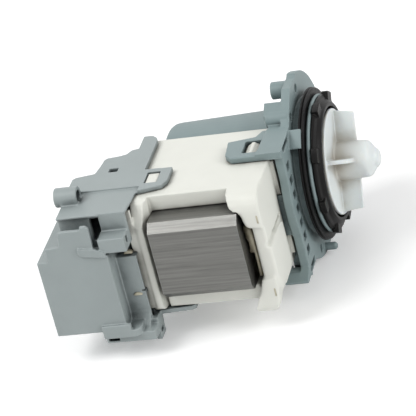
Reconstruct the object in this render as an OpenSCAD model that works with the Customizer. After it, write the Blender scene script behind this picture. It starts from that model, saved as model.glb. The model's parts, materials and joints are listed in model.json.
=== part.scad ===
// Washer drain pump with a synchronous motor.
// X is the pump axis and points to the impeller, Y points away from the stator, Z is up.
// The origin lies on the pump axis at the front face of the mounting flange.

/* [Mounting flange] */
// Radius of the round part of the flange
flange_r = 35.5; // [34.5:0.5:38]
// Thickness of the flange plate
flange_t = 3.3; // [2.8:0.1:3.6]
// Depth of the rim behind the round part
rim_depth = 6; // [5:0.5:8]
// Wall thickness of the rim
rim_wall = 2.5; // [2.3:0.1:2.7]
// Distance of the straight side wall from the axis
block_side = 33.5; // [33.5:0.5:36]
// Height of the straight part above the axis
block_top = 25.2; // [24.9:0.1:25.8]
// Height of the straight part below the axis
block_bottom = 28.5; // [28:0.5:30]
// Reach of the foot ledge beyond the side wall
ledge_reach = 5.5; // [4:0.5:7]
// Length of the clip arm behind the flange face
arm_length = 21.5; // [20:0.5:24]
// Thickness of the clip arm
arm_t = 2.3; // [2:0.1:2.5]
// Number of pockets in the row beside the seal
pocket_count = 7; // [3:1:8]
// Spacing of the pockets
pocket_pitch = 5.95; // [5.5:0.05:6.2]
// Diameter of the screw holes
screw_hole_d = 3.4; // [3:0.1:4]
// Diameter of the locating post
post_d = 3; // [2.4:0.1:3.4]
// Length of the locating post
post_length = 5; // [3:0.5:7]

/* [Sealing spigot] */
// Outer radius of the spigot in front of the seal
spigot_r = 26; // [25.8:0.1:26.5]
// Length of the spigot in front of the flange
spigot_length = 6.8; // [6.7:0.1:7.3]
// Radius of the bore in the spigot
spigot_bore_r = 23.2; // [23:0.1:23.5]
// Radius of the seal groove
groove_r = 24.9; // [24.6:0.1:25.1]
// Distance of the seal groove from the flange face
groove_x = 2.8; // [2.6:0.1:3]
// Width of the seal groove
groove_w = 2.4; // [2.2:0.1:2.6]
// Outer radius of the sealing ring
seal_r = 28.8; // [28.2:0.1:29]

/* [Rotor can] */
// Radius of the bore that holds the rotor
can_bore_r = 14.1; // [13.9:0.1:14.2]
// Wall thickness of the rotor can
can_wall = 1.5; // [1.2:0.1:1.5]
// Depth of the can behind the flange face
can_depth = 52.2; // [52:0.1:52.6]
// Outer radius of the motor shroud at its closed end
shroud_r_back = 20.9; // [20.7:0.1:21.2]
// Outer radius of the motor shroud at the flange
shroud_r_front = 22.4; // [22:0.1:23]
// Wall thickness of the shroud
shroud_wall = 1.3; // [1.1:0.1:1.4]

/* [Rotor] */
// Diameter of the shaft
shaft_d = 4; // [3.6:0.1:4.2]
// Outer radius of the rotor magnet
magnet_r = 13.2; // [12.6:0.1:13.4]
// Length of the rotor magnet
magnet_length = 31; // [28:0.5:31]
// Outer diameter of the plain bearings
bearing_d = 9; // [8:0.1:9.6]
// Length of the plain bearings
bearing_length = 4.8; // [4:0.1:5]
// Outer diameter of the bearing cushions
cushion_d = 15; // [13:0.5:15]

/* [Impeller] */
// Radius of the impeller disc
impeller_r = 20; // [18:0.1:20.2]
// Thickness of the impeller disc
disc_t = 1.3; // [1:0.1:1.6]
// Number of blades
blade_count = 4; // [2:1:6]
// Thickness of the blades
blade_t = 1.5; // [1.2:0.1:2]
// Height of the blades in front of the disc
blade_height = 7.9; // [5:0.1:9]
// Radius of the blades at the disc
blade_r = 19.2; // [17.5:0.1:19.8]
// Radius of the hub at the disc
hub_r = 7.4; // [7:0.1:8]
// Length of the hub and nose in front of the disc
hub_length = 16.3; // [16:0.1:18]

/* [Stator] */
// Length of the lamination stack along the shaft
stack_length = 33.4; // [31:0.1:33.4]
// Distance of the stack behind the flange face
stack_start = 13.8; // [13.8:0.1:14.4]
// Distance of the outer face of the yoke from the axis
stack_reach = 63.5; // [62:0.5:66]
// Height of the yoke
yoke_height = 31.4; // [30:0.1:31.4]
// Depth of the yoke
yoke_depth = 13; // [12:0.1:13]
// Chamfer on the corners of the yoke
yoke_chamfer = 3; // [1:0.1:4]
// Width of each leg of the core
leg_width = 7.7; // [7:0.1:7.7]
// Gap between the two legs of the core
leg_gap = 12; // [12:0.1:12.6]
// Width of each winding on its former
coil_t = 4.2; // [3:0.1:4.2]

/* [Motor housing] */
// Height of the motor housing above and below the axis
housing_half = 22; // [22:0.1:22.4]
// Wall thickness of the motor housing
housing_wall = 1.5; // [1.2:0.1:1.5]
// Distance of the open side from the axis
housing_open = 9.3; // [9:0.1:10]
// Reach of the posts at the ends of the stack
post_reach = 60; // [58:0.5:61]
// Reach of the bar below the stack
bar_reach = 57; // [55:0.5:58]

/* [Rear cover] */
// Thickness of the top plate of the cover
cover_t = 1.7; // [1.4:0.1:2]
// Distance of the end of the connector box behind the flange face
box_end = 88.7; // [86:0.1:92]
// Length of the connector box along the shaft
box_length = 27; // [25:0.5:27]
// Distance of the front of the connector box from the axis
box_reach = 70; // [69:0.5:72]
// Depth of the connector box
box_depth = 32; // [30:0.5:34]
// Wall thickness of the connector box
box_wall = 2.4; // [1.8:0.1:2.6]
// Depth of the connector socket
socket_depth = 19.5; // [16:0.5:20]
// Outer diameter of the guide sleeve on top of the cover
sleeve_d = 7.2; // [6.4:0.1:8]
// Bore of the guide sleeve
sleeve_bore_d = 4.2; // [3.4:0.1:4.6]
// Width of the blade terminals
blade_terminal_w = 6.3; // [4.8:0.1:6.3]

/* [Hidden] */
$fn = 64;

// Clearances
slip = 0.1;
running = 0.04;
rest = 0.3;
bite = 0.5;
far = 100;

// Colours as the photo shows them
teal_grey = [0.50, 0.57, 0.58];
blue_grey = [0.66, 0.70, 0.72];
white = [0.93, 0.94, 0.91];
black = [0.12, 0.11, 0.11];
clear_white = [0.91, 0.92, 0.92];
beige = [0.85, 0.80, 0.66];
steel = [0.62, 0.62, 0.62];
iron = [0.46, 0.46, 0.45];
copper = [0.72, 0.42, 0.22];
brass = [0.80, 0.68, 0.40];

// Can and shroud
can_r = can_bore_r + can_wall;
can_floor_t = 2;
can_inner_end = -can_depth + can_floor_t;
pocket_r = cushion_d / 2 + slip;
pocket_wall = 1.4;
shroud_side = 8;
shroud_round = 4;

// Spigot and seal
spigot_base_r = 25.4;
floor_front = 1;
seal_inner_r = groove_r + slip;
seal_back = groove_x + slip;
seal_front = groove_x + groove_w - slip;

// Flange details
arm_bottom = housing_half + rest;
arm_top = arm_bottom + arm_t;
arm_side = block_side + 1.5;
arm_back_side = 20;
arm_window = [-15.3, -31.5, 6.1, 8.8];
arm_root = 8.2;
arm_root_side = 14;
tongue_depth = 8;
tongue_top = 6.5;
tongue_bottom = -10.5;
tongue_t = 2;
ledge_depth = 9;
ledge_rise = 4.3;
pocket_y = -28.9;
pocket_top_z = 16;
pocket_size = [4.5, 3.2];
pocket_depth = 2.5;
boss_r = 3.3;
boss_depth = 9.2;
screw_places = [[4.9, 29.9], [-10.6, 26], [-11.7, -29.7]];
post_place = [-6.8, -32];
guard_inner_r = seal_r + 0.5;
guard_t = 1.4;
guard_length = 4.5;
guard_start = 126;
guard_sweep = 14;

// Bearing seats and rotor
shaft_r = shaft_d / 2;
bearing_r = bearing_d / 2;
bearing_bore_r = shaft_r + running;
cushion_bore_r = bearing_r + slip / 2;
cushion_r = cushion_d / 2;
washer_t = 0.7;
washer_r = 5;
magnet_bore_r = 6;
carrier_end_t = 1;
rear_bearing_back = can_inner_end + bite;
rear_bearing_front = rear_bearing_back + bearing_length;
rotor_back = rear_bearing_front + washer_t + 2 * rest;
magnet_back = rotor_back + carrier_end_t;
magnet_front = magnet_back + magnet_length;
rotor_front = magnet_front + 0.3;
shaft_back = can_inner_end + rest;
carrier_back = rotor_front + washer_t + 2 * rest;
carrier_flange_back = floor_front + slip;
carrier_flange_front = carrier_flange_back + 1.9;
carrier_plug_r = can_bore_r - slip;
carrier_flange_r = spigot_bore_r - 0.4;
front_bearing_front = carrier_back + bearing_length + 0.2;
carrier_web_front = front_bearing_front + 0.8;
seal_pocket_r = 6.5;
lip_length = carrier_flange_front - carrier_web_front;

// Impeller, with a driver that turns freely inside its hub between two stops
disc_back = 9.6;
disc_front = disc_back + disc_t;
nose_tip = disc_front + hub_length;
nose_r = 4.7;
nose_length = 3.6;
nose_round = 3.3;
hub_end = nose_tip - nose_length;
hub_top_r = hub_r - 0.4;
hub_round = 1.9;
shaft_front = hub_end - 2;
journal_back = hub_end - 4.5;
cavity_r = 5.6;
cap_t = 1.8;
cap_front = disc_back + cap_t;
dog_back = cap_front + rest;
dog_front = journal_back - rest;
dog_hub_r = shaft_r + 1.1;
dog_r = cavity_r - rest;
stop_angle = 56;
dog_angle = 36;
damper_angle = 9;
blade_taper = 1.1;
blade_first = 63;

// Retaining ring
ring_seat = spigot_length + 0.15;
ring_front = 10.3;
ring_inner_r = impeller_r + 0.9;
ring_outer_r = 25.6;
ring_lug_r = 26.7;
ring_neck_r = spigot_bore_r - 0.2;
ring_lug_count = 8;
ring_lug_w = 5.4;
ring_lug_first = 10.5;

// Stator
stack_front = -stack_start;
stack_back = stack_front - stack_length;
stack_mid = (stack_front + stack_back) / 2;
leg_inner = leg_gap / 2;
leg_outer = leg_inner + leg_width;
yoke_back = stack_reach - yoke_depth;
pole_bore_r = can_r + rest;
pole_r = shroud_r_back - shroud_wall - 0.4;
pole_reach = 5;
pole_split = 4;
leg_end = can_bore_r - 2;
former_wall = 0.9;
former_gap = 0.15;
former_flange_t = 1.2;
former_near = yoke_back - rest;
former_far = 21;
former_inner = leg_inner - former_gap - former_wall;
former_outer = leg_outer + former_gap + former_wall;
former_front = stack_front + former_gap + former_wall;
former_rear = stack_back - former_gap - former_wall;
former_flange_reach = coil_t + 0.4;
coil_gap = 0.1;
cutout_size = [12, 3.2, 4];

// Motor housing
housing_front = -5.5;
housing_back = -55;
housing_near = 52;
housing_near_t = 1.4;
housing_slot_r = can_r + 0.6;
window_half = yoke_height / 2 + slip;
window_front = -10.3;
window_back = stack_back - rest;
bar_front = -12.6;
hook_height = 1.9;
left_post_back = -53.7;
wall_bulge = 0.8;

// Rear cover
cover_bottom = housing_half + rest;
cover_top = cover_bottom + cover_t;
cover_step = 0.8;
cover_wall_front = housing_back - rest;
cover_wall_t = 2;
box_front = -box_end + box_length;
box_back_side = box_reach - box_depth;
box_bottom = -housing_half - 0.5;
shelf_z = 8.9;
plate_near = box_reach - 6;
plate_left = -79.3;
upper_near = box_reach - 7.5;
front_wall_t = 1.5;
sleeve_place = [-81.6, -box_reach + 18.5];
sleeve_length = 8.6;
trough_right = -54;
trough_near = box_reach - 8;
trough_top = 4;
trough_bottom = -24.7;
trough_rib_z = -12.1;
trough_r = 4.1;
tab_reach = 41;
tab_window = [-49.9, -45.3, 4.9, 8];
socket_far = box_back_side + 4;
socket_near = box_reach - 4;
socket_top = 4.5;
socket_bottom = box_bottom + 4;
terminal_t = 0.8;
terminal_z = -9.5;
terminal_places = [-box_reach + 9.5, -box_reach + 22.5];
terminal_reach = 11;
terminal_root = 3;
cover_rib_z = 16;
cover_rib_end = 14;

// Helpers that place a flat outline
module along_x(from, to) {
    translate([from, 0, 0]) rotate([90, 0, 90]) linear_extrude(to - from) children();
}

module along_y(near, far_side) {
    translate([0, far_side, 0]) rotate([90, 0, 0]) linear_extrude(far_side - near) children();
}

module along_z(low, high) {
    translate([0, 0, low]) linear_extrude(high - low) children();
}

// A turned body on the pump axis, from points given as radius and place along X
module turned(points) {
    rotate([0, 90, 0]) rotate_extrude() polygon(points);
}

module disc_x(from, to, r) {
    translate([from, 0, 0]) rotate([0, 90, 0]) cylinder(h = to - from, r = r);
}

module rod_x(from, to, r, place) {
    translate([0, place[0], place[1]]) disc_x(from, to, r);
}

module tube_x(from, to, outer, inner) {
    difference() {
        disc_x(from, to, outer);
        disc_x(from - bite, to + bite, inner);
    }
}

// A block from its corner with the smallest values to its opposite corner
module block(low, high) {
    translate(low) cube(high - low);
}

// A wedge of a turned space, its angle measured from Y towards Z
module wedge_x(from, to, r, start, sweep) {
    reach = r / cos(sweep / 4);
    along_x(from, to) polygon([
        [0, 0],
        for (step = [0:2]) reach * [cos(start + sweep * step / 2), sin(start + sweep * step / 2)]
    ]);
}

// Points of a quarter arc, for a rounded corner in an outline
function arc_points(centre, r, from, to, steps = 4) = [
    for (i = [0:steps])
        let (angle = from + (to - from) * i / steps)
            centre + r * [cos(angle), sin(angle)]
];

// Flange and rotor can
module flange_outline() {
    difference() {
        circle(flange_r, $fn = 96);
        flange_corner();
    }
    translate([-block_side, -block_bottom]) square([block_side, block_top + block_bottom]);
    polygon([
        [-block_side + tongue_t, -block_bottom + ledge_rise],
        [-block_side, -block_bottom + ledge_rise],
        [-block_side - ledge_reach, -block_bottom + 1],
        [-block_side - ledge_reach, -block_bottom],
        [-block_side + tongue_t, -block_bottom]
    ]);
}

// What the straight corner above the screw holes leaves out of the round part
module flange_corner() {
    polygon([
        [8.1, far], [8.1, 34.2], [5.7, 33.6], [-3.4, 34.3], [-16.5, block_top], [-far, block_top], [-far, far]
    ]);
}

// Stiffening rim behind the far side and the bottom
module flange_rim() {
    intersection() {
        along_x(-rim_depth, -flange_t + bite) difference() {
            circle(flange_r, $fn = 96);
            circle(flange_r - rim_wall, $fn = 96);
        }
        union() {
            block([-far, -24, -far], [0, far, -housing_half - rest]);
            block([-far, 20, -far], [0, far, housing_half]);
        }
    }
}

// Spigot and rotor can in one turned profile
module spigot_and_can() {
    turned([
        [0, -can_depth], [can_r, -can_depth], [can_r, -flange_t], [spigot_base_r, -flange_t],
        [spigot_base_r, groove_x], [groove_r, groove_x], [groove_r, groove_x + groove_w],
        [spigot_r - 0.4, groove_x + groove_w], [spigot_r, groove_x + groove_w + 0.4],
        [spigot_r, spigot_length - 0.5], [spigot_r - 0.5, spigot_length], [spigot_bore_r, spigot_length],
        [spigot_bore_r, floor_front], [can_bore_r, floor_front], [can_bore_r, can_inner_end],
        [pocket_r + pocket_wall, can_inner_end], [pocket_r + pocket_wall, rear_bearing_front - rest],
        [pocket_r, rear_bearing_front - rest], [pocket_r, can_inner_end], [0, can_inner_end]
    ]);
}

// Rounded shell behind the can, which also covers the ends of the poles
module shroud() {
    inner_back = shroud_r_back - shroud_wall;
    intersection() {
        turned(concat(
            [[can_r - bite, -can_depth]],
            arc_points([shroud_r_back - shroud_round, -can_depth + shroud_round], shroud_round, -90, 0),
            [[shroud_r_front, -flange_t + bite], [shroud_r_front - shroud_wall, -flange_t + bite]],
            arc_points([inner_back - shroud_round + 1, -can_depth + can_floor_t + shroud_round - 1],
                shroud_round - 1, 0, -90),
            [[can_r - bite, -can_depth + can_floor_t]]
        ));
        block([-far, -shroud_side, -far], [0, far, far]);
    }
}

module flange_arm() {
    difference() {
        union() {
            along_z(arm_bottom, arm_top) polygon([
                [-arm_length, -arm_side + 3], [-arm_length + 2.5, -arm_side], [0, -arm_side],
                [0, -arm_root_side], [-arm_root - 2.2, -arm_root_side - 2],
                [-arm_root - 4, -arm_back_side], [-arm_length - 0.8, -arm_back_side - 2]
            ]);
            along_z(arm_bottom, block_top) polygon([
                [0, -arm_side], [0, -arm_root_side], [-arm_root, -arm_root_side], [-arm_root - 1.5, -arm_side]
            ]);
        }
        block([arm_window[0], arm_window[1], 0],
            [arm_window[0] + arm_window[2], arm_window[1] + arm_window[3], far]);
    }
}

// Block beside the middle screw hole, flush with the straight edge of the flange
module square_boss() {
    along_x(-boss_depth - 0.6, -bite)
        polygon([[-7, 31.1], [-12.4, 28.6], [-12.4, 24.6], [-4.5, 24.6], [-5, 29.8]]);
}

module pocket_cuts() {
    for (i = [0:pocket_count - 1])
        translate([0, pocket_y, pocket_top_z - i * pocket_pitch])
            along_x(-pocket_depth, bite) square(pocket_size, center = true);
}

module flange_slots() {
    block([-arm_root + 2, -31.1, arm_bottom + rest], [bite, -21.4, block_top - 0.8]);
    along_x(-ledge_depth + 2, bite) polygon([
        [-32.5, -block_bottom + 0.9], [-31, -block_bottom + 2.9],
        [-22.4, -block_bottom + 2.9], [-23.9, -block_bottom + 0.9]
    ]);
}

module locating_post() {
    tip = post_length - post_d / 4;
    rod_x(-bite, tip, post_d / 2, post_place);
    translate([tip, post_place[0], post_place[1]]) rotate([0, 90, 0])
        cylinder(h = post_d / 4, r1 = post_d / 2, r2 = post_d / 4);
}

module seal_guard() {
    intersection() {
        tube_x(-bite, guard_length, guard_inner_r + guard_t, guard_inner_r);
        wedge_x(-bite, guard_length + bite, flange_r, guard_start, guard_sweep);
    }
}

// Everything of the flange outside the turned spigot and can
module flange_plate() {
    difference() {
        union() {
            difference() {
                along_x(-flange_t, 0) flange_outline();
                disc_x(-far, far, spigot_base_r - bite);
            }
            flange_rim();
            flange_arm();
            square_boss();
            locating_post();
            seal_guard();
            block([-tongue_depth, -block_side, tongue_bottom], [-bite, -block_side + tongue_t, tongue_top]);
            along_x(-ledge_depth, -bite) polygon([
                [-block_side + 2 * tongue_t, -block_bottom + 2.9], [-block_side - 2, -block_bottom + 3],
                [-block_side - ledge_reach, -block_bottom + 1], [-block_side - ledge_reach, -block_bottom],
                [-block_side + 2 * tongue_t, -block_bottom]
            ]);
            for (place = screw_places) rod_x(-boss_depth, -bite, boss_r, place);
        }
        for (place = screw_places) rod_x(-boss_depth - 2 * bite - 0.2, bite, screw_hole_d / 2, place);
        pocket_cuts();
        flange_slots();
    }
}

module flange_housing() {
    color(teal_grey) {
        flange_plate();
        spigot_and_can();
        shroud();
    }
}

// Seal with two ridges in the groove of the spigot
module sealing_ring() {
    mid = (seal_back + seal_front) / 2;
    color(black) turned([
        [seal_inner_r, seal_back], [seal_r - 0.7, seal_back], [seal_r, seal_back + 0.35],
        [seal_r, mid - 0.35], [seal_r - 0.7, mid], [seal_r - 0.3, mid + 0.3],
        [seal_r - 0.3, seal_front - 0.35], [seal_r - 0.9, seal_front], [seal_inner_r, seal_front]
    ]);
}

// Black ring round the impeller disc, with bayonet lugs
module retaining_ring() {
    color(black) {
        turned([
            [ring_inner_r, carrier_flange_front + slip], [ring_neck_r, carrier_flange_front + slip],
            [ring_neck_r, ring_seat], [ring_outer_r - 0.4, ring_seat], [ring_outer_r, ring_seat + 0.4],
            [ring_outer_r - 0.2, ring_seat + 1.3], [ring_inner_r + 2.9, ring_seat + 1.9],
            [ring_inner_r + 2.2, ring_front - 0.7], [ring_inner_r + 1.4, ring_front], [ring_inner_r, ring_front]
        ]);
        for (i = [0:ring_lug_count - 1]) rotate([ring_lug_first + i * 360 / ring_lug_count, 0, 0])
            intersection() {
                tube_x(ring_seat + slip, ring_front - 0.8, ring_lug_r, ring_inner_r + 1);
                block([0, 0, -ring_lug_w / 2], [far, far, ring_lug_w / 2]);
            }
    }
}

// Plug that closes the can and carries the front bearing and the shaft seal
module bearing_carrier() {
    color(black) turned([
        [cushion_r + slip, carrier_back], [carrier_plug_r, carrier_back],
        [carrier_plug_r, carrier_flange_back], [carrier_flange_r, carrier_flange_back],
        [carrier_flange_r, carrier_flange_front], [seal_pocket_r, carrier_flange_front],
        [seal_pocket_r, carrier_web_front], [shaft_r + 0.6, carrier_web_front],
        [shaft_r + 0.6, front_bearing_front + slip], [cushion_r + slip, front_bearing_front + slip]
    ]);
}

module cushion(from, to) {
    color(black) tube_x(from, to, cushion_r, cushion_bore_r);
}

module front_cushion() {
    cushion(carrier_back + slip, front_bearing_front);
}

module rear_cushion() {
    cushion(rear_bearing_back, rear_bearing_front - rest);
}

module plain_bearing(from) {
    color(iron) tube_x(from, from + bearing_length, bearing_r, bearing_bore_r);
}

module front_bearing() {
    plain_bearing(front_bearing_front - bearing_length);
}

module rear_bearing() {
    plain_bearing(rear_bearing_back);
}

// Lip seal on the shaft, in front of the bearing
module shaft_seal() {
    color(black) turned([
        [shaft_r + 0.5, carrier_web_front + slip], [seal_pocket_r - slip, carrier_web_front + slip],
        [seal_pocket_r - slip, carrier_flange_front - slip], [seal_pocket_r - 1.4, carrier_flange_front - slip],
        [shaft_r + running, carrier_flange_front - 0.17 * lip_length],
        [shaft_r + running, carrier_flange_front - 0.25 * lip_length],
        [seal_pocket_r - 2.4, carrier_flange_front - 0.36 * lip_length],
        [shaft_r + 0.5, carrier_flange_front - 0.47 * lip_length]
    ]);
}

// Rotor
module rotor_shaft() {
    color(steel) turned([
        [0, shaft_back], [shaft_r - 0.4, shaft_back], [shaft_r, shaft_back + 0.4],
        [shaft_r, shaft_front - 0.4], [shaft_r - 0.4, shaft_front], [0, shaft_front]
    ]);
}

module rotor_magnet() {
    color(iron) tube_x(magnet_back, magnet_front, magnet_r, magnet_bore_r);
}

module magnet_carrier() {
    color(beige) turned([
        [shaft_r, rotor_back], [magnet_r - 1, rotor_back], [magnet_r - 1, magnet_back],
        [magnet_bore_r, magnet_back], [magnet_bore_r, rotor_front - 0.3], [magnet_bore_r - 0.3, rotor_front],
        [shaft_r, rotor_front]
    ]);
}

module front_thrust_washer() {
    color(beige) tube_x(rotor_front + rest, rotor_front + rest + washer_t, washer_r, shaft_r);
}

module rear_thrust_washer() {
    color(beige) tube_x(rotor_back - rest - washer_t, rotor_back - rest, washer_r, shaft_r);
}

// Driver on the shaft, which meets the stop inside the hub after half a turn
module drive_dog() {
    color(beige) difference() {
        union() {
            disc_x(dog_back, dog_front, dog_hub_r);
            intersection() {
                disc_x(dog_back, dog_front, dog_r);
                wedge_x(dog_back, dog_front, dog_r, 180 - dog_angle / 2, dog_angle);
            }
        }
        disc_x(dog_back - bite, dog_front + bite, shaft_r);
    }
}

module dog_damper() {
    color(black) for (side = [-1, 1])
        intersection() {
            tube_x(dog_back + rest, dog_front - rest, dog_r - 0.1, dog_hub_r + 0.1);
            wedge_x(dog_back, dog_front, dog_r, 180 + side * (dog_angle + damper_angle) / 2 - damper_angle / 2,
                damper_angle);
        }
}

// Impeller
module hub_body() {
    turned(concat(
        [[0, disc_back], [impeller_r - 0.2, disc_back], [impeller_r, disc_back + 0.2],
            [impeller_r, disc_front - 0.2], [impeller_r - 0.2, disc_front], [hub_r + 0.5, disc_front],
            [hub_r, disc_front + 0.5]],
        arc_points([hub_top_r - hub_round, hub_end - hub_round], hub_round, 0, 90),
        [[nose_r + 0.1, hub_end], [nose_r, hub_end + 0.4]],
        arc_points([nose_r - nose_round, nose_tip - nose_round], nose_round, 0, 90, 6),
        [[0, nose_tip]]
    ));
}

module impeller_blade(angle) {
    rotate([angle, 0, 0]) linear_extrude(blade_t, center = true) polygon([
        [disc_back + disc_t / 2, cavity_r + 0.8], [disc_back + disc_t / 2, blade_r],
        [disc_front + blade_height - 0.4, blade_r - blade_taper],
        [disc_front + blade_height, blade_r - blade_taper - 0.4], [disc_front + blade_height, cavity_r + 0.8]
    ]);
}

module impeller() {
    color(clear_white) difference() {
        union() {
            hub_body();
            for (i = [0:blade_count - 1]) impeller_blade(blade_first + i * 360 / blade_count);
        }
        difference() {
            disc_x(disc_back - bite, journal_back, cavity_r);
            intersection() {
                tube_x(dog_back, journal_back + bite, cavity_r + bite, dog_hub_r + rest);
                wedge_x(dog_back, journal_back + bite, cavity_r + bite, -stop_angle / 2, stop_angle);
            }
        }
        disc_x(journal_back - bite, shaft_front + rest, shaft_r + running);
    }
}

module hub_cap() {
    color(clear_white) tube_x(disc_back + 0.1, cap_front, cavity_r - running, shaft_r + running);
}

// Laminated core: a chamfered yoke, two legs and pole shoes that hug the can
module core_frame() {
    half = yoke_height / 2;
    along_x(stack_back, stack_front) polygon([
        [-stack_reach, -half + yoke_chamfer], [-stack_reach, half - yoke_chamfer],
        [-stack_reach + yoke_chamfer, half], [-yoke_back, half], [-yoke_back, leg_outer],
        [-leg_end, leg_outer], [-leg_end, leg_inner], [-yoke_back, leg_inner], [-yoke_back, -leg_inner],
        [-leg_end, -leg_inner], [-leg_end, -leg_outer], [-yoke_back, -leg_outer], [-yoke_back, -half],
        [-stack_reach + yoke_chamfer, -half]
    ]);
}

module pole_shoes() {
    intersection() {
        disc_x(stack_back, stack_front, pole_r);
        union() {
            block([stack_back, -pole_r, pole_split], [stack_front, pole_reach, pole_r]);
            block([stack_back, -pole_r, -pole_r], [stack_front, pole_reach, -pole_split]);
        }
    }
}

module stator_core() {
    color(iron) difference() {
        union() {
            core_frame();
            pole_shoes();
        }
        disc_x(stack_back - bite, stack_front + bite, pole_bore_r);
    }
}

// Former round the upper leg
module bobbin() {
    color(beige) difference() {
        union() {
            block([former_rear, -former_near, former_inner], [former_front, -former_far, former_outer]);
            for (near = [former_near, former_far + former_flange_t])
                block([former_rear - former_flange_reach, -near, former_inner - former_flange_reach],
                    [former_front + former_flange_reach, -near + former_flange_t,
                        former_outer + former_flange_reach]);
        }
        block([stack_back - former_gap, -far, leg_inner - former_gap],
            [stack_front + former_gap, 0, leg_outer + former_gap]);
    }
}

module coil() {
    near = -former_near + former_flange_t + coil_gap;
    far_side = -former_far - former_flange_t - coil_gap;
    color(copper) along_y(near, far_side) difference() {
        translate([former_rear - coil_t, former_inner - coil_t])
            rounded_square([former_front - former_rear + 2 * coil_t,
                former_outer - former_inner + 2 * coil_t], coil_t * 0.8);
        translate([former_rear - coil_gap, former_inner - coil_gap])
            square([former_front - former_rear + 2 * coil_gap, former_outer - former_inner + 2 * coil_gap]);
    }
}

module rounded_square(size, r) {
    polygon(concat(
        arc_points([r, r], r, 180, 270), arc_points([size[0] - r, r], r, 270, 360),
        arc_points([size[0] - r, size[1] - r], r, 0, 90), arc_points([r, size[1] - r], r, 90, 180)
    ));
}

module upper_bobbin() {
    bobbin();
}

module lower_bobbin() {
    mirror([0, 0, 1]) bobbin();
}

module upper_coil() {
    coil();
}

module lower_coil() {
    mirror([0, 0, 1]) coil();
}

module thermal_cutout() {
    color(black) translate([stack_mid - cutout_size[0] / 2, -former_far + rest, -cutout_size[2] / 2])
        cube(cutout_size);
}

// White housing round the windings
module housing_walls() {
    difference() {
        block([housing_back, -housing_near, -housing_half], [housing_front, -housing_open, housing_half]);
        block([housing_back + housing_wall, -housing_near + housing_near_t, -housing_half + housing_wall],
            [housing_front - housing_wall, far, housing_half - housing_wall]);
        block([window_back, -far, -window_half],
            [window_front, -housing_near + bite + housing_near_t, window_half]);
        disc_x(-housing_near / 2, 0, housing_slot_r);
    }
}

module bar_under_stack() {
    block([window_back - bite, -bar_reach, -housing_half], [bar_front, -housing_near + bite, -window_half]);
    block([bar_front - bite, -housing_near - 2, -housing_half],
        [window_front + bite, -housing_near + bite, -window_half]);
}

module left_post() {
    intersection() {
        along_x(left_post_back, window_back) polygon(concat(
            [[-housing_near + bite, housing_half]],
            arc_points([-housing_near - 1, housing_half - 3], 3, 90, 150),
            [[-post_reach, housing_half - 9]],
            arc_points([-post_reach + 2.5, -housing_half + 2.5], 2.5, 180, 270),
            [[-housing_near + bite, -housing_half]]
        ));
        along_z(-far, far) polygon(concat(
            [[left_post_back, -housing_near + 2 * bite]],
            arc_points([left_post_back + 2.6, -post_reach + 2.6], 2.6, 180, 270),
            [[window_back - 2.2, -post_reach + 0.3], [window_back - 1.1, -housing_near - 3.2],
                [window_back, -housing_near - 2], [window_back, -housing_near + 2 * bite]]
        ));
    }
}

module lobe_and_foot() {
    intersection() {
        along_y(-post_reach, -housing_near + bite) {
            polygon([[-17.9, 23], [-16.2, 17.4], [-15, 16.1], [-13.6, 15.9], [-12.9, 14], [-12.3, 10.6],
                [-11.6, 9.2], [window_front, 8.6], [housing_front, 8.3], [housing_front, 23]]);
            polygon([[-11, -13], [-12.2, -17.6], [-14, -21.5], [-15.6, -25.6], [-14.8, -26.9], [-9, -27.4],
                [-7.6, -26.6], [-6.6, -23.5], [housing_front, -18], [housing_front, -12.4]]);
        }
        along_x(-far, 0) polygon(concat(
            [[-housing_near + bite, housing_half]],
            arc_points([-housing_near - 2, housing_half - 6], 6, 90, 180),
            [[-post_reach, 15], [-post_reach, -25], [-post_reach + 2.5, -27.6], [-housing_near + bite, -27.6]]
        ));
    }
    block([window_front, -post_reach + 1.6, -13], [housing_front, -housing_near + bite, 9]);
}

// Raised panel on the front wall
module front_wall_panel() {
    along_x(housing_front - bite, housing_front + wall_bulge) polygon([
        [-37, -2.2], [-40, -1], [-post_reach + 3, 0.6], [-post_reach + 1.8, -2], [-post_reach + 1.8, -13],
        [-post_reach + 6, -19], [-42, -20.5], [-37, -18]
    ]);
}

module tongue_slot() {
    block([-tongue_depth - rest, -block_side - rest, tongue_bottom - rest],
        [0, -block_side + tongue_t + rest, tongue_top + rest]);
}

module hook(window, height) {
    low = [window[0] + 0.5, window[1] + 0.5];
    size = [window[2] - 1, window[3] - 1];
    translate([low[0], low[1] + size[1], housing_half - bite]) rotate([90, 0, 0]) linear_extrude(size[1])
        polygon(concat(
            [[0, 0], [0, bite + height * 0.4]],
            arc_points([size[0] * 0.5, bite + height * 0.5], height * 0.5, 150, 30),
            [[size[0], bite + height * 0.4], [size[0], 0]]
        ));
}

module motor_housing() {
    color(white) difference() {
        union() {
            housing_walls();
            bar_under_stack();
            left_post();
            lobe_and_foot();
            front_wall_panel();
            hook(arm_window, hook_height + 0.4);
            hook(tab_window, hook_height - 0.4);
            mirror([0, 0, 1]) hook(tab_window, hook_height - 0.4);
        }
        tongue_slot();
        along_y(-far, -36) polygon([
            [housing_front - 1.4, 0.4], [housing_front + 2, 2.4], [housing_front + 2, -1.6]
        ]);
    }
}

// Rear cover with the connector box
module cover_top_outline() {
    polygon([
        [plate_left, -plate_near], [-63.6, -plate_near], [-63.6, -upper_near - 1], [-53.2, -upper_near - 1],
        [-52.2, -52], [-51.6, -46], [-51.6, -12.6], [-52.3, -10.6], [-53.7, -9.2], [-55, -8.8], [-57.8, -8.8],
        [-57.8, -18], [-60.2, -18.6], [-61.8, -21.4], [-63.8, -22.2], [-68.6, -23], [-69.8, -24.2],
        [-70.3, -29], [-71.2, -34.2], [-78.2, -35.7], [plate_left, -37]
    ]);
}

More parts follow.
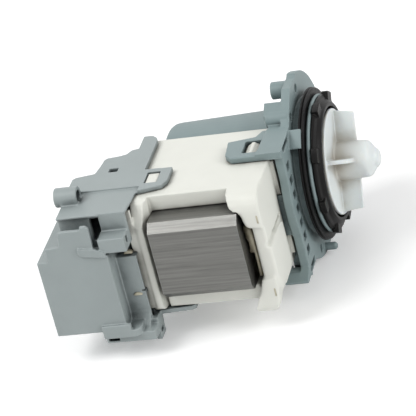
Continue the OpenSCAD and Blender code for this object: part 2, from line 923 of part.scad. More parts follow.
module cover_tab() {
    polygon([
        [-52, -34.8], [-tab_reach, -35.2], [-tab_reach, -44.5], [-tab_reach - 1.6, -48], [-50.6, -50.2],
        [-52, -50.2]
    ]);
}

module cover_plate() {
    difference() {
        union() {
            along_z(cover_bottom, cover_top) cover_top_outline();
            along_z(cover_bottom, cover_top) cover_tab();
        }
        block([tab_window[0], tab_window[1], 0],
            [tab_window[0] + tab_window[2], tab_window[1] + tab_window[3], far]);
        block([-66, -34.2, 0], [-62.4, -31.4, far]);
        block([-far, -far, cover_top - cover_step], [-51.2, -47, far]);
    }
}

module guide_sleeve() {
    z = cover_top + sleeve_d / 2 - 2.6;
    rod_x(sleeve_place[0], sleeve_place[0] + sleeve_length, sleeve_d / 2, [sleeve_place[1], z]);
    block([plate_left, sleeve_place[1] - sleeve_d / 2, cover_bottom],
        [sleeve_place[0] + sleeve_length, sleeve_place[1] + sleeve_d / 2, z]);
}

module sleeve_bore() {
    z = cover_top + sleeve_d / 2 - 2.6;
    rod_x(sleeve_place[0] - bite, sleeve_place[0] + sleeve_length + bite, sleeve_bore_d / 2,
        [sleeve_place[1], z]);
}

// Front wall of the connector box, which climbs to the top plate in steps
module box_front_wall() {
    along_y(-box_reach, -box_reach + front_wall_t) polygon([
        [-box_end, box_bottom], [-box_end, shelf_z], [-box_end + 4.4, shelf_z], [-box_end + 4.4, 14.2],
        [-box_end + 9.8, 14.8], [-box_end + 10.6, 20], [-box_end + 11.6, 20.7], [-69.4, 20.7],
        [-69.2, 22], [-67.2, 22], [-66.2, 21], [-66.2, 12.6], [box_front, 9.4], [box_front, box_bottom + 1.5],
        [box_front - 1.5, box_bottom]
    ]);
    along_y(-box_reach - 0.8, -box_reach + bite) polygon([
        [-72, 13.6], [-66.2, 13], [box_front - 0.5, 11], [box_front - 0.5, 9], [-71, 10.2], [-72, 11]
    ]);
}

module connector_box() {
    difference() {
        union() {
            block([-box_end, -box_reach, box_bottom], [box_front, -box_back_side, shelf_z]);
            block([plate_left, -upper_near, shelf_z - bite], [-58, -box_back_side + 3, cover_bottom + bite]);
            box_front_wall();
        }
        block([-box_end - bite, -socket_near, socket_bottom],
            [-box_end + socket_depth, -socket_far, socket_top]);
        block([plate_left + 1, -box_reach + front_wall_t, socket_top - bite],
            [box_front - box_wall, -upper_near - 1, far]);
        block([plate_left + 3, -upper_near + 2, shelf_z + 2], [-59.5, -box_back_side + 1, cover_bottom - 0.6]);
        block([-67.5, -upper_near - bite, shelf_z + 3], [-62.8, -upper_near + 2 + bite, cover_bottom - 1.2]);
    }
}

// Trough between the box and the housing, with two rounded pockets
module wire_trough() {
    difference() {
        block([box_front - bite, -trough_near, trough_bottom], [trough_right, -housing_near - rest, trough_top]);
        for (span = [[trough_rib_z + 0.8, trough_top - 0.9], [trough_bottom - bite, trough_rib_z - 0.8]])
            translate([box_front + trough_r - 0.6, -trough_near - 0.6, span[0]])
                trough_pocket(span[1] - span[0]);
    }
}

// Pocket with one curved side, open towards the motor housing
module trough_pocket(height) {
    cylinder(h = height, r = trough_r);
    translate([0, -trough_r, 0]) cube([2 * trough_r, 2 * trough_r, height]);
}

// Strap and block that hang from the near edge of the top plate
module strap_clip() {
    difference() {
        union() {
            block([-63.6, -upper_near - 1, 10.4], [-53.6, -upper_near + 0.6, cover_bottom + bite]);
            block([-64, -box_reach, 10.3], [-54, -upper_near - 1 + bite, 16]);
        }
        block([-55.5, -box_reach + 2.6, 12.2], [0, -box_reach + 4.6, 15]);
    }
}

module lower_lips() {
    block([-71, -box_reach - 1.2, box_bottom - 2.4], [-60, -box_reach + bite, box_bottom + 3]);
    along_z(box_bottom - 2.4, box_bottom + bite) polygon(concat(
        [[-71, -box_reach + 6], [-71, -box_reach - 1.2]],
        arc_points([-59.6, -box_reach + 1.8], 3, -90, 0),
        [[-56.6, -box_reach + 8], [-60, -box_reach + 8]]
    ));
    difference() {
        block([-71, -box_reach + 0.8, box_bottom - 5.4], [-52, -box_reach + 13.5, box_bottom - 2.4 + bite]);
        block([-70.2, -far, box_bottom - 4.6], [-66, -box_reach + 8, box_bottom - 3.4]);
    }
}

// Lower clip: a loop beside the housing and a tab below it
module lower_clips() {
    along_x(-54, -52) difference() {
        translate([-63.4, -31.5]) square([6.4, 9]);
        translate([-61.8, -29.6]) square([3.2, 4.6]);
    }
    difference() {
        along_z(-cover_top, -cover_bottom) union() {
            translate([-60, -58.4]) square([8.4, 48.4]);
            polygon([[-52, -34.8], [-tab_reach, -35.2], [-tab_reach, -50], [-38.5, -53], [-38.5, -56.4],
                [-40, -57.4], [-52, -58.4]]);
        }
        block([tab_window[0], tab_window[1], -far],
            [tab_window[0] + tab_window[2], tab_window[1] + tab_window[3], 0]);
    }
}

module cover_back_wall() {
    block([cover_wall_front - cover_wall_t, -housing_near, -cover_bottom - bite],
        [cover_wall_front, -housing_open, cover_bottom + bite]);
    block([box_front - bite, -upper_near, box_bottom], [cover_wall_front, -box_back_side + 3, trough_top]);
    for (z = [-cover_rib_z, 0, cover_rib_z])
        along_z(z - 0.8, z + 0.8) polygon([
            [-box_end + box_length, -box_back_side], [cover_wall_front - bite, -box_back_side],
            [cover_wall_front - bite, -cover_rib_end], [cover_wall_front - cover_wall_t - 1, -cover_rib_end]
        ]);
}

module rear_cover() {
    color(blue_grey) difference() {
        union() {
            cover_plate();
            guide_sleeve();
            connector_box();
            cover_back_wall();
            wire_trough();
            strap_clip();
            lower_lips();
            lower_clips();
        }
        sleeve_bore();
        for (y = terminal_places) terminal_slot(y);
    }
}

module terminal_slot(y) {
    block([-box_end + socket_depth - bite, y - terminal_t / 2, terminal_z - blade_terminal_w / 2],
        [box_front + terminal_root, y + terminal_t / 2, terminal_z + blade_terminal_w / 2]);
}

// Blade terminal that stands in the socket
module blade_terminal(y) {
    tip = -box_end + socket_depth - terminal_reach;
    root = box_front + terminal_root;
    color(brass) along_y(y - terminal_t / 2, y + terminal_t / 2) polygon([
        [tip, terminal_z - blade_terminal_w / 2 + 1.2], [tip + 1.2, terminal_z - blade_terminal_w / 2],
        [root, terminal_z - blade_terminal_w / 2], [root, terminal_z + blade_terminal_w / 2],
        [tip + 1.2, terminal_z + blade_terminal_w / 2], [tip, terminal_z + blade_terminal_w / 2 - 1.2]
    ]);
}

module terminal_upper() {
    blade_terminal(terminal_places[0]);
}

module terminal_lower() {
    blade_terminal(terminal_places[1]);
}

flange_housing();
sealing_ring();
retaining_ring();
bearing_carrier();
front_cushion();
front_bearing();
rear_cushion();
rear_bearing();
shaft_seal();
rotor_shaft();
rotor_magnet();
magnet_carrier();
front_thrust_washer();
rear_thrust_washer();
drive_dog();
dog_damper();
impeller();
hub_cap();
stator_core();
upper_bobbin();
lower_bobbin();
upper_coil();
lower_coil();
thermal_cutout();
motor_housing();
rear_cover();
terminal_upper();
terminal_lower();
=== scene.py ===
import json
import math

import bmesh
import bpy
from mathutils import Matrix, Vector


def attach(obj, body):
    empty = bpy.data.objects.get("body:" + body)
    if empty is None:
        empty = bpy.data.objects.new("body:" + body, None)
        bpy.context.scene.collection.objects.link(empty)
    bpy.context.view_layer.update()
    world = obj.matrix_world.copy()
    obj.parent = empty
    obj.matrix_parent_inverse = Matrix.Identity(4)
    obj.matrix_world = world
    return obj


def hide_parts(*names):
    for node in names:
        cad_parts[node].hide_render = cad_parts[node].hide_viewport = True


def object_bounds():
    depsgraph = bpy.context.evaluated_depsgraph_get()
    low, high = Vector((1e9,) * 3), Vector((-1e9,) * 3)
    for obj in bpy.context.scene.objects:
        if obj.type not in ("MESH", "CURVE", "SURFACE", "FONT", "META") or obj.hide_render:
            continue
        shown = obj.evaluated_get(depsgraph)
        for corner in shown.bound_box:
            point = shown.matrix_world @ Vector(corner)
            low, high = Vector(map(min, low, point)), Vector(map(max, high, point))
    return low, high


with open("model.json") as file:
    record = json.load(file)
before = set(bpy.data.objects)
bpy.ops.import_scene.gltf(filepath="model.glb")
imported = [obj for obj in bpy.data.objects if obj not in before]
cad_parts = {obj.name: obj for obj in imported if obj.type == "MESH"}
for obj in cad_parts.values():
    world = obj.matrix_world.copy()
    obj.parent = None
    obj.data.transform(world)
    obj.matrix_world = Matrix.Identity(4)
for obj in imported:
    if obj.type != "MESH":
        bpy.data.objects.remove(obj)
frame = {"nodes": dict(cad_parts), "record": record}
cadBox = [list(corner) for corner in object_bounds()]
scene = bpy.context.scene
mm = 0.001
staticBody = "pump_frame"
impellerBody = "impeller_body"


def srgb(r, g, b):
    # 0 to 255 as seen on screen, to the linear colour that the shader takes
    def linear(v):
        v = v / 255
        return v / 12.92 if v <= 0.04045 else ((v + 0.055) / 1.055) ** 2.4
    return (linear(r), linear(g), linear(b), 1.0)


# Shader building blocks
def addNode(tree, kind, x, y, **settings):
    node = tree.nodes.new(kind)
    node.location = (x, y)
    for key, value in settings.items():
        setattr(node, key, value)
    return node


def mathNode(tree, operation, x, y, first=None, second=None, third=None):
    node = addNode(tree, "ShaderNodeMath", x, y, operation=operation)
    for index, value in enumerate((first, second, third)):
        if value is None:
            continue
        if isinstance(value, (int, float)):
            node.inputs[index].default_value = value
        else:
            tree.links.new(value, node.inputs[index])
    return node.outputs[0]


def rangeNode(tree, x, y, value, span, top):
    # 0 at the first end of the span and top at the second, with the span in millimetres
    node = addNode(tree, "ShaderNodeMapRange", x, y)
    for label, number in (("From Min", span[0] * mm), ("From Max", span[1] * mm), ("To Min", 0.0), ("To Max", top)):
        node.inputs[label].default_value = number
    tree.links.new(value, node.inputs["Value"])
    return node.outputs["Result"]


def mixColour(tree, x, y, blend, factor, first, second):
    node = addNode(tree, "ShaderNodeMix", x, y, data_type="RGBA", blend_type=blend)
    for socket, value in ((node.inputs[0], factor), (node.inputs[6], first), (node.inputs[7], second)):
        if isinstance(value, (int, float, tuple)):
            socket.default_value = value
        else:
            tree.links.new(value, socket)
    return node.outputs[2]


def newGroup(name, inputs, outputs):
    tree = bpy.data.node_groups.new(name, "ShaderNodeTree")
    for label, value in inputs:
        socket = tree.interface.new_socket(name=label, in_out="INPUT", socket_type="NodeSocketFloat")
        socket.default_value = value
    for label in outputs:
        tree.interface.new_socket(name=label, in_out="OUTPUT", socket_type="NodeSocketFloat")
    return tree, addNode(tree, "NodeGroupInput", -900, 0), addNode(tree, "NodeGroupOutput", 500, 0)


def groupNode(tree, group, x, y, **values):
    node = addNode(tree, "ShaderNodeGroup", x, y, node_tree=group)
    for label, value in values.items():
        node.inputs[label.replace("_", " ")].default_value = value
    return node


def newMaterial(name):
    mat = bpy.data.materials.new(name)
    mat.use_nodes = True
    return mat, mat.node_tree, mat.node_tree.nodes["Principled BSDF"]


# Camera at the photo's viewing angle
cameraValues = {
    "sensorWidth": 36.0,
    "clipStart": 0.05,
    "clipEnd": 20.0,
    "focalPx": 2860.0,
    "framePx": 416,
    "pxPerMm": 2.67,  # at the pump's origin
    "originPx": (310.3, 164.4),
    "right": (0.95521, 0.19248, -0.22458),
    "up": (0.09952, 0.50605, 0.85660),
    "back": (0.27848, -0.84065, 0.46423),
}


def makeCamera(v):
    data = bpy.data.cameras.new("camera")
    data.sensor_width = v["sensorWidth"]
    data.lens = data.sensor_width * v["focalPx"] / v["framePx"]
    data.clip_start = v["clipStart"]
    data.clip_end = v["clipEnd"]
    obj = bpy.data.objects.new("camera", data)
    scene.collection.objects.link(obj)
    axes = [Vector(v[name]) for name in ("right", "up", "back")]
    half = v["framePx"] / 2
    offset = [(v["originPx"][0] - half) / v["pxPerMm"], (half - v["originPx"][1]) / v["pxPerMm"],
              -v["focalPx"] / v["pxPerMm"]]
    place = -sum((axis * step for axis, step in zip(axes, offset)), Vector()) * mm
    turn = Matrix(axes).transposed().to_4x4()
    obj.matrix_world = Matrix.Translation(place) @ turn
    scene.camera = obj


# Plain studio: pale floor, a large soft key light from the left, a weaker fill and a rim light, in metres and watts
studioValues = {
    "lamps": {
        "key": {"place": (-0.80, -0.55, 1.20), "size": 0.8, "power": 12.0},
        "fill": {"place": (1.15, -0.35, 0.65), "size": 0.8, "power": 7.5},
        "rim": {"place": (-0.4, 1.0, 0.9), "size": 0.9, "power": 2.0},
    },
    "aim": (0, -0.02, 0),
    "ambient": 0.45,
    "floorSize": 3.0,
    "floorColour": (0.95, 0.95, 0.95, 1),
    "floorRough": 0.9,
    "floorGlow": 0.22,
}


def makeLamp(name, v, aim):
    data = bpy.data.lights.new(name, "AREA")
    data.shape = "SQUARE"
    data.size = v["size"]
    data.energy = v["power"]
    obj = bpy.data.objects.new(name, data)
    obj.location = v["place"]
    obj.rotation_euler = (Vector(aim) - Vector(v["place"])).to_track_quat("-Z", "Y").to_euler()
    scene.collection.objects.link(obj)


# Seen directly, in a reflection or through the object the world is white, and it lights the object more weakly
def makeWorld(v):
    world = bpy.data.worlds.new("studio")
    scene.world = world
    world.use_nodes = True
    tree = world.node_tree
    tree.nodes.clear()
    path = addNode(tree, "ShaderNodeLightPath", -900, 100)
    seen = mathNode(tree, "MAXIMUM", -700, 100, path.outputs["Is Camera Ray"], path.outputs["Is Glossy Ray"])
    seen = mathNode(tree, "MAXIMUM", -500, 100, seen, path.outputs["Is Transmission Ray"])
    dim = addNode(tree, "ShaderNodeBackground", -500, -100)
    dim.inputs["Strength"].default_value = v["ambient"]
    white = addNode(tree, "ShaderNodeBackground", -500, -250)
    for background in (dim, white):
        background.inputs["Color"].default_value = (1, 1, 1, 1)
    mix = addNode(tree, "ShaderNodeMixShader", -300, 0)
    out = addNode(tree, "ShaderNodeOutputWorld", -100, 0)
    tree.links.new(seen, mix.inputs[0])
    tree.links.new(dim.outputs[0], mix.inputs[1])
    tree.links.new(white.outputs[0], mix.inputs[2])
    tree.links.new(mix.outputs[0], out.inputs["Surface"])


def makeFloor(v, height):
    mesh = bpy.data.meshes.new("floor")
    half = v["floorSize"] / 2
    corners = [(-half, -half, height), (half, -half, height), (half, half, height), (-half, half, height)]
    mesh.from_pydata(corners, [], [(0, 1, 2, 3)])
    floor = bpy.data.objects.new("floor", mesh)
    scene.collection.objects.link(floor)
    mat, tree, bsdf = newMaterial("floorWhite")
    bsdf.inputs["Base Color"].default_value = v["floorColour"]
    bsdf.inputs["Roughness"].default_value = v["floorRough"]
    bsdf.inputs["Specular IOR Level"].default_value = 0.0
    path = addNode(tree, "ShaderNodeLightPath", -500, -200)
    glow = mathNode(tree, "MULTIPLY", -300, -200, path.outputs["Is Camera Ray"], v["floorGlow"])
    bsdf.inputs["Emission Color"].default_value = (1, 1, 1, 1)
    tree.links.new(glow, bsdf.inputs["Emission Strength"])
    mesh.materials.append(mat)


scene.view_settings.view_transform = "Standard"
makeCamera(cameraValues)
makeWorld(studioValues)
makeFloor(studioValues, cadBox[0][2])
for name, values in studioValues["lamps"].items():
    makeLamp(name, values, studioValues["aim"])
print("stage: camera, floor and lights are in place")

# Moulded surface: fine spark-eroded grain, long soft waves and a slight change of gloss, with sizes in millimetres
grainValues = {
    "size": 0.35,
    "detail": 2.0,
    "waveSize": 14.0,
    "waveDetail": 3.0,
    "waveRough": 0.55,
    "waveHeight": 3.0,
}


def makeGrainGroup(v):
    tree, inside, outside = newGroup(
        "mouldGrain", [("Grain Size", v["size"]), ("Wave Size", v["waveSize"])], ["Height", "Gloss", "Shade"])
    place = addNode(tree, "ShaderNodeTexCoord", -900, -300)
    fineScale = mathNode(tree, "DIVIDE", -700, 200, 1 / mm, inside.outputs["Grain Size"])
    waveScale = mathNode(tree, "DIVIDE", -700, -100, 1 / mm, inside.outputs["Wave Size"])
    fine = addNode(tree, "ShaderNodeTexNoise", -500, 200)
    fine.inputs["Detail"].default_value = v["detail"]
    wave = addNode(tree, "ShaderNodeTexNoise", -500, -100)
    wave.inputs["Detail"].default_value = v["waveDetail"]
    wave.inputs["Roughness"].default_value = v["waveRough"]
    for noise, scale in ((fine, fineScale), (wave, waveScale)):
        tree.links.new(place.outputs["Object"], noise.inputs["Vector"])
        tree.links.new(scale, noise.inputs["Scale"])
    height = mathNode(tree, "MULTIPLY_ADD", -200, 200, wave.outputs["Fac"], v["waveHeight"], fine.outputs["Fac"])
    shade = mathNode(tree, "SUBTRACT", -200, -100, wave.outputs["Fac"], 0.5)
    tree.links.new(height, outside.inputs["Height"])
    tree.links.new(fine.outputs["Fac"], outside.inputs["Gloss"])
    tree.links.new(shade, outside.inputs["Shade"])
    return tree


# Edges lighter for rubbed edges and painted highlight, and corners darker as painted shade from ambient occlusion,
# as masks from 0 to 1 that a patchy noise breaks up
ageValues = {
    "edgeWidth": 0.5,
    "edgeGain": 6.0,
    "bevelSamples": 4,
    "cornerReach": 6.0,
    "cornerGain": -2.1,
    "cornerStart": 1.75,
    "cornerSamples": 6,
    "patchScale": 260.0,
    "patchDetail": 4.0,
    "patchGain": 1.2,
    "patchStart": 0.2,
}


def makeAgeGroup(v):
    tree, inside, outside = newGroup(
        "edgesAndCorners", [("Edge Width", v["edgeWidth"]), ("Corner Reach", v["cornerReach"])], ["Edge", "Corner"])
    width = mathNode(tree, "MULTIPLY", -700, 250, inside.outputs["Edge Width"], mm)
    reach = mathNode(tree, "MULTIPLY", -700, -150, inside.outputs["Corner Reach"], mm)
    bevel = addNode(tree, "ShaderNodeBevel", -500, 250, samples=v["bevelSamples"])
    tree.links.new(width, bevel.inputs["Radius"])
    surface = addNode(tree, "ShaderNodeNewGeometry", -500, 80)
    meet = addNode(tree, "ShaderNodeVectorMath", -300, 200, operation="DOT_PRODUCT")
    tree.links.new(bevel.outputs["Normal"], meet.inputs[0])
    tree.links.new(surface.outputs["Normal"], meet.inputs[1])
    turned = mathNode(tree, "SUBTRACT", -120, 200, 1.0, meet.outputs["Value"])
    sharp = mathNode(tree, "MULTIPLY", 40, 200, turned, v["edgeGain"])
    sharp.node.use_clamp = True
    # painted shade: the corner mask grows where ambient occlusion finds the surface shut in
    openness = addNode(tree, "ShaderNodeAmbientOcclusion", -500, -150, samples=v["cornerSamples"])
    tree.links.new(reach, openness.inputs["Distance"])
    shut = mathNode(tree, "MULTIPLY_ADD", -120, -150, openness.outputs["AO"], v["cornerGain"], v["cornerStart"])
    shut.node.use_clamp = True
    place = addNode(tree, "ShaderNodeTexCoord", -500, -400)
    patch = addNode(tree, "ShaderNodeTexNoise", -300, -400)
    patch.inputs["Scale"].default_value = v["patchScale"]
    patch.inputs["Detail"].default_value = v["patchDetail"]
    tree.links.new(place.outputs["Object"], patch.inputs["Vector"])
    broken = mathNode(tree, "MULTIPLY_ADD", -120, -400, patch.outputs["Fac"], v["patchGain"], v["patchStart"])
    edge = mathNode(tree, "MULTIPLY", 220, 200, sharp, broken)
    corner = mathNode(tree, "MULTIPLY", 220, -150, shut, broken)
    corner.node.use_clamp = True
    tree.links.new(edge, outside.inputs["Edge"])
    tree.links.new(corner, outside.inputs["Corner"])
    return tree


# Drawn metal: streaks that run along X, from fine lines to wide bands, with sizes in millimetres
streakValues = {
    "lineSize": 0.12,
    "lineStretch": 0.012,
    "bandSize": 1.6,
    "bandStretch": 0.02,
    "detail": 3.0,
}


def makeStreakGroup(v):
    tree, inside, outside = newGroup(
        "drawnStreaks", [("Line Size", v["lineSize"]), ("Band Size", v["bandSize"])], ["Lines", "Bands"])
    place = addNode(tree, "ShaderNodeTexCoord", -900, -200)
    for size, stretch, output, y in (("Line Size", v["lineStretch"], "Lines", 200),
                                     ("Band Size", v["bandStretch"], "Bands", -200)):
        scale = mathNode(tree, "DIVIDE", -700, y, 1 / mm, inside.outputs[size])
        squeeze = addNode(tree, "ShaderNodeMapping", -500, y)
        squeeze.inputs["Scale"].default_value = (stretch, 1.0, 1.0)
        tree.links.new(place.outputs["Object"], squeeze.inputs["Vector"])
        noise = addNode(tree, "ShaderNodeTexNoise", -250, y)
        noise.inputs["Detail"].default_value = v["detail"]
        tree.links.new(squeeze.outputs["Vector"], noise.inputs["Vector"])
        tree.links.new(scale, noise.inputs["Scale"])
        tree.links.new(noise.outputs["Fac"], outside.inputs[output])
    return tree


grainGroup = makeGrainGroup(grainValues)
ageGroup = makeAgeGroup(ageValues)
streakGroup = makeStreakGroup(streakValues)


# The last steps that all materials share: colour, gloss that a mask varies, and bump
def finishSurface(tree, bsdf, base, glossMask, rough, heightMask, bumpStrength, v):
    tree.links.new(base, bsdf.inputs["Base Color"])
    gloss = mathNode(tree, "MULTIPLY_ADD", -340, -100, glossMask, v["glossSwing"], rough - v["glossDrop"])
    tree.links.new(gloss, bsdf.inputs["Roughness"])
    bump = addNode(tree, "ShaderNodeBump", -160, -300)
    bump.inputs["Strength"].default_value = bumpStrength
    bump.inputs["Distance"].default_value = v["bumpHeight"] * mm
    tree.links.new(heightMask, bump.inputs["Height"])
    tree.links.new(bump.outputs["Normal"], bsdf.inputs["Normal"])


# Moulded plastic and rubber, with grain and reach in millimetres
plasticFinish = {
    "glossSwing": 0.12,
    "glossDrop": 0.06,
    "bumpHeight": 0.3,
}
# corner is the colour of painted shade in corners, recesses and between parts, and shade is its strength; edge is
# the lighter colour of rubbed edges and of painted highlight
plasticValues = {
    "teal_grey_plastic": {"colour": (129, 145, 146), "edge": (186, 198, 198), "corner": (26, 36, 38),
                          "rough": 0.46, "grain": 0.30, "bump": 0.10, "wave": 0.10, "wearAndSheen": 0.5,
                          "shade": 1.0, "reach": 3.2, "gloss": 0.4},
    "blue_grey_plastic": {"colour": (151, 160, 160), "edge": (200, 208, 209), "corner": (36, 44, 46),
                          "rough": 0.44, "grain": 0.30, "bump": 0.10, "wave": 0.08, "wearAndSheen": 0.5,
                          "shade": 1.0, "reach": 8.0, "gloss": 0.4},
    "white_plastic": {"colour": (226, 227, 219), "edge": (242, 242, 238), "corner": (104, 102, 90),
                      "rough": 0.42, "grain": 0.35, "bump": 0.08, "wave": 0.05, "wearAndSheen": 0.15,
                      "shade": 0.8, "reach": 4.0, "gloss": 0.4},
    "beige_plastic": {"colour": (196, 190, 168), "edge": (220, 215, 196), "corner": (86, 78, 60),
                      "rough": 0.45, "grain": 0.30, "bump": 0.08, "wave": 0.08, "wearAndSheen": 0.15,
                      "shade": 1.0, "reach": 5.0, "gloss": 0.4},
    "black_plastic": {"colour": (13, 12, 12), "edge": (70, 67, 65), "corner": (4, 4, 4),
                      "rough": 0.36, "grain": 0.30, "bump": 0.15, "wave": 0.20, "wearAndSheen": 0.45,
                      "shade": 1.0, "reach": 5.0, "gloss": 0.16},
    "black_rubber": {"colour": (12, 12, 13), "edge": (52, 50, 50), "corner": (4, 4, 4),
                     "rough": 0.44, "grain": 0.22, "bump": 0.20, "wave": 0.25, "wearAndSheen": 0.40,
                     "shade": 1.0, "reach": 5.0, "gloss": 0.18},
}


def makePlastic(name, v):
    mat, tree, bsdf = newMaterial(name)
    grain = groupNode(tree, grainGroup, -900, 100, Grain_Size=v["grain"])
    age = groupNode(tree, ageGroup, -900, -200, Corner_Reach=v["reach"])
    swing = mathNode(tree, "MULTIPLY_ADD", -700, 300, grain.outputs["Shade"], v["wave"] * 2, 1.0)
    grey = addNode(tree, "ShaderNodeCombineColor", -520, 300)
    for channel in ("Red", "Green", "Blue"):
        tree.links.new(swing, grey.inputs[channel])
    base = mixColour(tree, -340, 300, "MULTIPLY", 1.0, srgb(*v["colour"]), grey.outputs[0])
    # painted shade: darker towards the corner colour in corners and recesses
    cornerShade = mathNode(tree, "MULTIPLY", -520, -300, age.outputs["Corner"], v["shade"])
    base = mixColour(tree, -340, 100, "MIX", cornerShade, base, srgb(*v["corner"]))
    # rubbed edges and painted highlight: lighter towards the edge colour along the edges
    wornAndLit = mathNode(tree, "MULTIPLY", -520, -150, age.outputs["Edge"], v["wearAndSheen"])
    base = mixColour(tree, -160, 100, "MIX", wornAndLit, base, srgb(*v["edge"]))
    bsdf.inputs["Specular IOR Level"].default_value = v["gloss"]
    finishSurface(tree, bsdf, base, grain.outputs["Gloss"], v["rough"], grain.outputs["Height"], v["bump"],
                  plasticFinish)
    return mat


# Natural nylon of the impeller: milky, a little light passes through, and warmer and darker on the thick hub
# towards the disc, partly its own tone and partly painted shade. Radii, spans, sizes and depth are in millimetres.
nylonValues = {
    "colour": (225, 231, 231),
    "thick": (182, 175, 162),
    "corner": (150, 142, 128),
    "rough": 0.36,
    "glossSwing": 0.1,
    "glossDrop": 0.05,
    "bump": 0.06,
    "bumpHeight": 0.3,
    "grain": 0.4,
    "waveSize": 9.0,
    "mottle": 0.6,
    "reach": 7.0,
    "hubRadii": (12.0, 6.0),
    "hubShare": 0.8,
    "hubSpan": (23.0, 13.0),
    "depth": 1.2,
    "scatter": 0.25,
    "scatterRadius": (1.0, 0.8, 0.6),
}


def makeNylon(name, v):
    mat, tree, bsdf = newMaterial(name)
    grain = groupNode(tree, grainGroup, -900, 100, Grain_Size=v["grain"], Wave_Size=v["waveSize"])
    age = groupNode(tree, ageGroup, -900, -200, Corner_Reach=v["reach"])
    place = addNode(tree, "ShaderNodeTexCoord", -1300, 400)
    apart = addNode(tree, "ShaderNodeSeparateXYZ", -1120, 400)
    tree.links.new(place.outputs["Object"], apart.inputs[0])
    across = mathNode(tree, "MULTIPLY", -940, 480, apart.outputs["Y"], apart.outputs["Y"])
    around = mathNode(tree, "MULTIPLY_ADD", -760, 480, apart.outputs["Z"], apart.outputs["Z"], across)
    radius = mathNode(tree, "SQRT", -600, 480, around)
    hub = rangeNode(tree, -440, 480, radius, v["hubRadii"], v["hubShare"])
    along = rangeNode(tree, -440, 760, apart.outputs["X"], v["hubSpan"], 1.0)
    # thick hub towards the disc: the nylon's warmer tone together with painted shade
    hubToneAndShade = mathNode(tree, "MULTIPLY", -260, 620, hub, along)
    mottled = mathNode(tree, "MULTIPLY_ADD", -260, 480, grain.outputs["Shade"], v["mottle"], hubToneAndShade)
    mottled.node.use_clamp = True
    base = mixColour(tree, -100, 480, "MIX", mottled, srgb(*v["colour"]), srgb(*v["thick"]))
    # painted shade: darker towards the corner colour in corners and recesses
    base = mixColour(tree, 60, 300, "MIX", age.outputs["Corner"], base, srgb(*v["corner"]))
    bsdf.inputs["Subsurface Weight"].default_value = v["scatter"]
    bsdf.inputs["Subsurface Radius"].default_value = v["scatterRadius"]
    bsdf.inputs["Subsurface Scale"].default_value = v["depth"] * mm
    finishSurface(tree, bsdf, base, grain.outputs["Gloss"], v["rough"], grain.outputs["Height"], v["bump"], v)
    return mat


# Steel, ferrite, bronze, brass and copper, with lines and bands in millimetres
metalFinish = {
    "lineShare": 0.7,
    "lineStart": -0.35,
    "bandShare": 0.9,
    "lift": 0.05,
    "edgeWidth": 0.3,
    "wearAndSheen": 0.4,
    "edgeLift": 50,
    # corner is the colour of painted shade in corners and recesses; edgeLift lightens the edges for rubbed edges
    # and painted highlight
    "corner": (30, 29, 28),
    "glossSwing": 0.25,
    "glossDrop": 0.12,
    "bumpHeight": 0.2,
}
metalValues = {
    "lamination_steel": {"dark": (88, 88, 86), "light": (146, 146, 142), "rough": 0.34, "lines": 0.10,
                         "bands": 0.8, "bump": 0.25, "metallic": 0.8},
    "shaft_steel": {"dark": (150, 150, 150), "light": (205, 205, 205), "rough": 0.22, "lines": 0.08,
                    "bands": 2.5, "bump": 0.10, "metallic": 1.0},
    "ferrite": {"dark": (36, 36, 38), "light": (64, 64, 67), "rough": 0.55, "lines": 0.25,
                "bands": 3.0, "bump": 0.20, "metallic": 0.1},
    "sintered_bronze": {"dark": (120, 95, 62), "light": (172, 146, 104), "rough": 0.5, "lines": 0.3,
                        "bands": 1.5, "bump": 0.30, "metallic": 0.8},
    "terminal_brass": {"dark": (168, 136, 74), "light": (218, 190, 122), "rough": 0.3, "lines": 0.1,
                       "bands": 2.0, "bump": 0.10, "metallic": 1.0},
    "copper_wire": {"dark": (118, 58, 30), "light": (190, 112, 66), "rough": 0.28, "lines": 0.32,
                    "bands": 4.0, "bump": 0.60, "metallic": 0.9},
}


def makeMetal(name, v):
    finish = metalFinish
    mat, tree, bsdf = newMaterial(name)
    streaks = groupNode(tree, streakGroup, -900, 100, Line_Size=v["lines"], Band_Size=v["bands"])
    age = groupNode(tree, ageGroup, -900, -200, Edge_Width=finish["edgeWidth"])
    lines = streaks.outputs["Lines"]
    mixed = mathNode(tree, "MULTIPLY_ADD", -700, 200, lines, finish["lineShare"], finish["lineStart"])
    mixed = mathNode(tree, "MULTIPLY_ADD", -540, 200, streaks.outputs["Bands"], finish["bandShare"], mixed)
    mixed = mathNode(tree, "ADD", -380, 200, mixed, finish["lift"])
    mixed.node.use_clamp = True
    base = mixColour(tree, -200, 200, "MIX", mixed, srgb(*v["dark"]), srgb(*v["light"]))
    # rubbed edges and painted highlight: lighter along the edges
    wornAndLit = mathNode(tree, "MULTIPLY", -380, -150, age.outputs["Edge"], finish["wearAndSheen"])
    bright = [min(255, part + finish["edgeLift"]) for part in v["light"]]
    base = mixColour(tree, -40, 200, "MIX", wornAndLit, base, srgb(*bright))
    # painted shade: darker towards the corner colour in corners and recesses
    base = mixColour(tree, 120, 200, "MIX", age.outputs["Corner"], base, srgb(*finish["corner"]))
    bsdf.inputs["Metallic"].default_value = v["metallic"]
    finishSurface(tree, bsdf, base, lines, v["rough"], lines, v["bump"], finish)
    return mat


materials = {name: makePlastic(name, values) for name, values in plasticValues.items()}
materials.update({name: makeMetal(name, values) for name, values in metalValues.items()})
materials["clear_white_plastic"] = makeNylon("clear_white_plastic", nylonValues)
slotOf = {row["node"]: row["material_slot"] for row in frame["record"]["subparts"]}
for name, obj in frame["nodes"].items():
    obj.data.materials.clear()
    obj.data.materials.append(materials[slotOf[name]])
print("stage: materials are made")


# Solids in millimetres. An outline lies across the axis that its prism runs along.
def alongX(a, b, level):
    return level, a, b


def alongY(a, b, level):
    return a, level, b


def alongZ(a, b, level):
    return a, b, level


